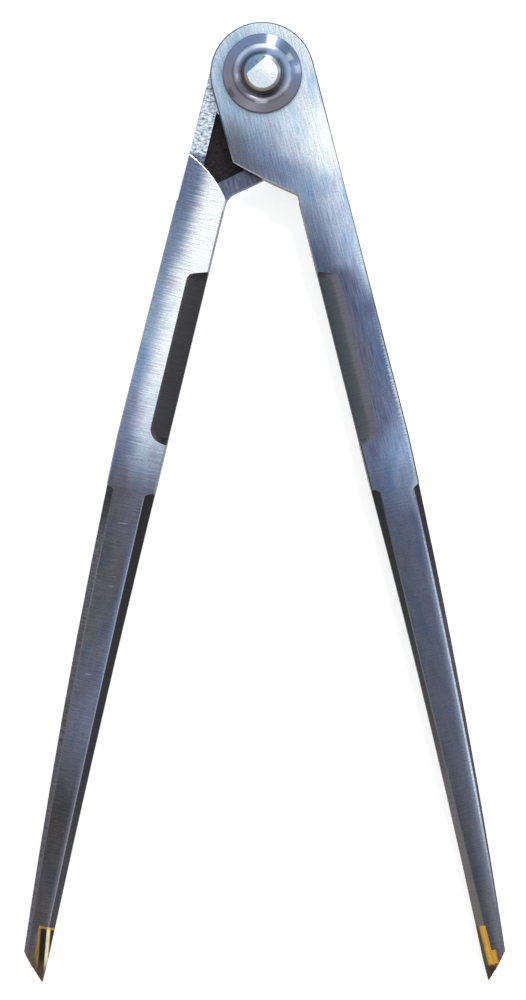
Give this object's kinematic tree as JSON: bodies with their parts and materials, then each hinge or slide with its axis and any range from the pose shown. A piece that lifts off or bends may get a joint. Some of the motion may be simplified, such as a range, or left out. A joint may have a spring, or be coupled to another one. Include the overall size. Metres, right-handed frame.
{
  "type": "steel compass",
  "caption": "Steel marking-out compass: long bevelled legs on a riveted half-lap joint with dished washers and brazed hard-metal points.",
  "frame": {"origin": "on the pivot axis, on the flat of the rear rivet head, which the compass lies on", "axes": "+Z along the pivot axis towards the front, +Y towards the head, +X towards the right leg seen from the front; the legs open evenly to both sides of -Y at rest"},
  "size_m": [0.1218, 0.2431, 0.0129],
  "materials": {
    "ground_steel": "ground and lightly brushed, blue-grey",
    "turned_steel": "turned, with fine concentric marks",
    "rivet_steel": "set and faced off bright",
    "carbide": "diamond-ground hard metal, heat tinted at the point",
    "braze": "as run, golden"
  },
  "bodies": {
    "left": {"left_leg": "ground_steel", "left_carbide_point": "carbide", "left_braze": "braze", "pivot_rivet": "rivet_steel", "front_washer": "turned_steel", "rear_washer": "turned_steel"},
    "right": {"right_leg": "ground_steel", "right_carbide_point": "carbide", "right_braze": "braze"}
  },
  "joints": [
    {"name": "leg_pivot", "type": "hinge", "parent": "left", "child": "right", "pos_m": [0, 0, 0.00645], "axis": [0, 0, 1], "range_deg": [-27.6, 152.3]}
  ]
}
